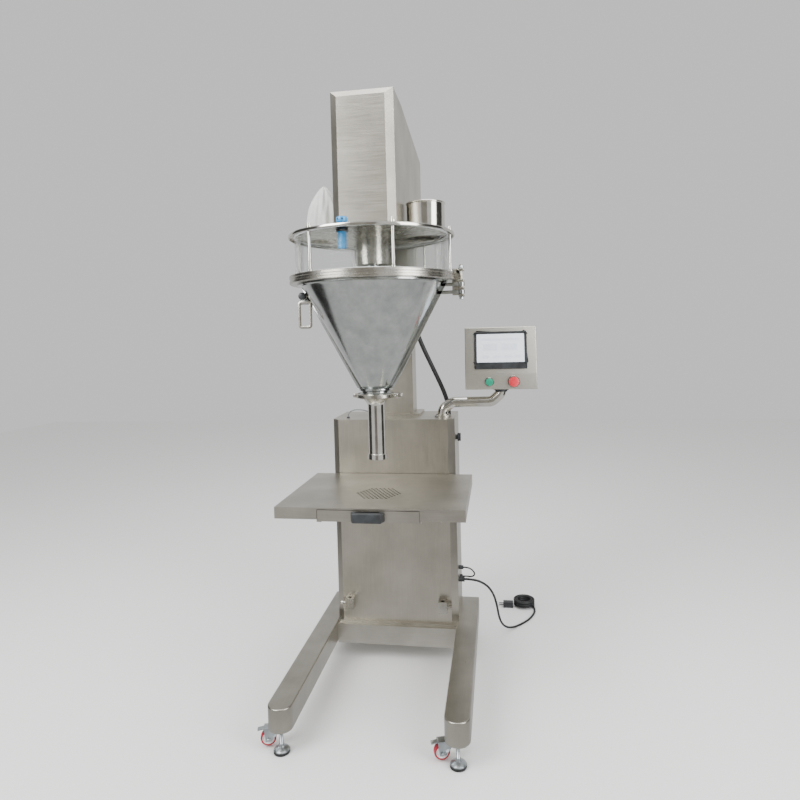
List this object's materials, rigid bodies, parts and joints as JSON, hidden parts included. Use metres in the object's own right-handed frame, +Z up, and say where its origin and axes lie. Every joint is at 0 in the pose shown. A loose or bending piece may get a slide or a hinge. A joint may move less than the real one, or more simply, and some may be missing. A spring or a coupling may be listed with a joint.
{
  "type": "auger powder filler",
  "caption": "Stand-mounted auger filler: split conical hopper with clear upper section, screw in a spout over a perforated table with drawer, wheeled H-base.",
  "frame": {"origin": "centre of the machine's footprint box at floor level, measured without the free mains cord", "axes": "+Z up, -Y towards the operator, +X to the operator's right"},
  "size_m": [0.9371, 1.224, 2.106],
  "materials": {
    "stainless": "brushed",
    "polished_steel": "polished",
    "gear_steel": "machined",
    "cast_aluminium": "satin",
    "black_paint": "satin",
    "grey_paint": "satin",
    "zinc_steel": "satin",
    "clear_acrylic": "clear",
    "white_fabric": "woven",
    "blue_plastic": "gloss",
    "black_plastic": "matte",
    "grey_plastic": "matte",
    "green_plastic": "gloss",
    "red_plastic": "gloss",
    "black_rubber": "matte",
    "red_tyre": "satin"
  },
  "bodies": {
    "frame": {"leg_left": "stainless", "leg_right": "stainless", "base_crossbars": "stainless", "cabinet_shell": "stainless", "cabinet_top": "stainless", "support_column": "stainless", "motor_housing": "stainless", "bearing_housing": "polished_steel", "servo_motor": "black_paint", "agitator_motor": "grey_paint", "hopper_rear_half": "polished_steel", "hopper_ring": "stainless", "clear_cylinder": "clear_acrylic", "hopper_lid": "stainless", "inlet_port": "polished_steel", "breather_bag": "white_fabric", "level_sensor": "blue_plastic", "tie_rods": "polished_steel", "spout_tube": "polished_steel", "spout_clamp": "polished_steel", "rod_clamps": "polished_steel", "conduit_hose": "black_rubber", "sensor_wire": "grey_plastic", "side_cable": "black_rubber", "power_cord": "black_rubber", "cord_coil": "black_rubber", "power_plug": "black_rubber", "cable_glands": "black_plastic"},
    "rear_door": {"rear_door": "stainless"},
    "side_latch": {"side_latch": "black_plastic"},
    "auger": {"auger_screw": "polished_steel", "shaft_coupling": "cast_aluminium"},
    "agitator": {"agitator_frame": "stainless", "driven_gear": "gear_steel"},
    "pinion": {"drive_gear": "gear_steel"},
    "hopper_door": {"hopper_front_half": "polished_steel", "pull_handle": "stainless"},
    "latch": {"latch_bolt": "black_plastic"},
    "wing_nut": {"wing_nut": "polished_steel"},
    "table": {"table_top": "stainless", "table_rods": "polished_steel"},
    "drawer": {"drawer_tray": "stainless", "drawer_handle": "black_plastic"},
    "arm": {"display_arm": "polished_steel"},
    "panel": {"display_box": "stainless", "display_screen": "black_plastic"},
    "start_button": {"start_button": "green_plastic"},
    "stop_button": {"stop_button": "red_plastic"},
    "swivel_front_left": {"caster_fork_front_left": "zinc_steel"},
    "wheel_front_left": {"caster_wheel_front_left": "red_tyre"},
    "foot_front_left": {"levelling_foot_front_left": "zinc_steel"},
    "swivel_front_right": {"caster_fork_front_right": "zinc_steel"},
    "wheel_front_right": {"caster_wheel_front_right": "red_tyre"},
    "foot_front_right": {"levelling_foot_front_right": "zinc_steel"},
    "swivel_rear_left": {"caster_fork_rear_left": "zinc_steel"},
    "wheel_rear_left": {"caster_wheel_rear_left": "red_tyre"},
    "foot_rear_left": {"levelling_foot_rear_left": "zinc_steel"},
    "swivel_rear_right": {"caster_fork_rear_right": "zinc_steel"},
    "wheel_rear_right": {"caster_wheel_rear_right": "red_tyre"},
    "foot_rear_right": {"levelling_foot_rear_right": "zinc_steel"}
  },
  "joints": [
    {"name": "auger_spin", "type": "hinge", "parent": "frame", "child": "auger", "pos_m": [-0.10265, -0.1315, 1], "axis": [0, 0, 1], "continuous": true},
    {"name": "agitator_spin", "type": "hinge", "parent": "frame", "child": "agitator", "pos_m": [-0.10265, -0.1315, 1.5], "axis": [0, 0, 1], "continuous": true},
    {"name": "pinion_spin", "type": "hinge", "parent": "frame", "child": "pinion", "pos_m": [-0.10265, -0.0505, 1.722], "axis": [0, 0, 1], "continuous": true},
    {"name": "hopper_door_swing", "type": "hinge", "parent": "frame", "child": "hopper_door", "pos_m": [0.20135, -0.1315, 1.46], "axis": [0, 0, 1], "range_deg": [0, 100]},
    {"name": "latch_turn", "type": "hinge", "parent": "hopper_door", "child": "latch", "pos_m": [-0.34865, -0.1515, 1.449], "axis": [0, -1, 0], "continuous": true},
    {"name": "wing_nut_turn", "type": "hinge", "parent": "frame", "child": "wing_nut", "pos_m": [-0.01815, -0.1515, 1.099], "axis": [0, -1, 0], "continuous": true},
    {"name": "table_lift", "type": "slide", "parent": "frame", "child": "table", "axis": [0, 0, 1], "range_m": [0, 0.1]},
    {"name": "drawer_slide", "type": "slide", "parent": "table", "child": "drawer", "axis": [0, -1, 0], "range_m": [0, 0.3]},
    {"name": "arm_swivel", "type": "hinge", "parent": "frame", "child": "arm", "pos_m": [0.09335, 0.2565, 0.98], "axis": [0, 0, 1], "range_deg": [-20, 45]},
    {"name": "panel_swivel", "type": "hinge", "parent": "arm", "child": "panel", "pos_m": [0.32835, 0.2565, 1.083], "axis": [0, 0, 1], "range_deg": [-30, 30]},
    {"name": "start_press", "type": "slide", "parent": "panel", "child": "start_button", "axis": [0, 1, 0], "range_m": [0, 0.004], "stiffness_N_per_m": 300},
    {"name": "stop_press", "type": "slide", "parent": "panel", "child": "stop_button", "axis": [0, 1, 0], "range_m": [0, 0.004], "stiffness_N_per_m": 500},
    {"name": "rear_door_swing", "type": "hinge", "parent": "frame", "child": "rear_door", "pos_m": [-0.34665, 0.4399, 0.56], "axis": [0, 0, 1], "range_deg": [0, 110]},
    {"name": "side_latch_turn", "type": "hinge", "parent": "frame", "child": "side_latch", "pos_m": [0.14335, 0.2565, 0.888], "axis": [1, 0, 0], "range_deg": [0, 90]},
    {"name": "swivel_turn_front_left", "type": "hinge", "parent": "frame", "child": "swivel_front_left", "pos_m": [-0.40065, -0.3775, 0.06], "axis": [0, 0, 1], "range_deg": [-100, 5]},
    {"name": "wheel_spin_front_left", "type": "hinge", "parent": "swivel_front_left", "child": "wheel_front_left", "pos_m": [-0.43221, -0.38715, 0.031], "axis": [-0.2924, 0.9563, 0], "continuous": true},
    {"name": "foot_screw_front_left", "type": "slide", "parent": "frame", "child": "foot_front_left", "axis": [0, 0, -1], "range_m": [0, 0.015]},
    {"name": "swivel_turn_front_right", "type": "hinge", "parent": "frame", "child": "swivel_front_right", "pos_m": [0.15535, -0.3775, 0.06], "axis": [0, 0, 1], "range_deg": [-100, 5]},
    {"name": "wheel_spin_front_right", "type": "hinge", "parent": "swivel_front_right", "child": "wheel_front_right", "pos_m": [0.12379, -0.38715, 0.031], "axis": [-0.2924, 0.9563, 0], "continuous": true},
    {"name": "foot_screw_front_right", "type": "slide", "parent": "frame", "child": "foot_front_right", "axis": [0, 0, -1], "range_m": [0, 0.015]},
    {"name": "swivel_turn_rear_left", "type": "hinge", "parent": "frame", "child": "swivel_rear_left", "pos_m": [-0.40065, 0.3705, 0.06], "axis": [0, 0, 1], "range_deg": [-5, 100]},
    {"name": "wheel_spin_rear_left", "type": "hinge", "parent": "swivel_rear_left", "child": "wheel_rear_left", "pos_m": [-0.43221, 0.38015, 0.031], "axis": [0.2924, 0.9563, 0], "continuous": true},
    {"name": "foot_screw_rear_left", "type": "slide", "parent": "frame", "child": "foot_rear_left", "axis": [0, 0, -1], "range_m": [0, 0.015]},
    {"name": "swivel_turn_rear_right", "type": "hinge", "parent": "frame", "child": "swivel_rear_right", "pos_m": [0.15535, 0.3705, 0.06], "axis": [0, 0, 1], "range_deg": [-5, 100]},
    {"name": "wheel_spin_rear_right", "type": "hinge", "parent": "swivel_rear_right", "child": "wheel_rear_right", "pos_m": [0.12379, 0.38015, 0.031], "axis": [0.2924, 0.9563, 0], "continuous": true},
    {"name": "foot_screw_rear_right", "type": "slide", "parent": "frame", "child": "foot_rear_right", "axis": [0, 0, -1], "range_m": [0, 0.015]}
  ],
  "couplings": [
    {"joint": "pinion_spin", "follows": "agitator_spin", "ratio": -2}
  ]
}
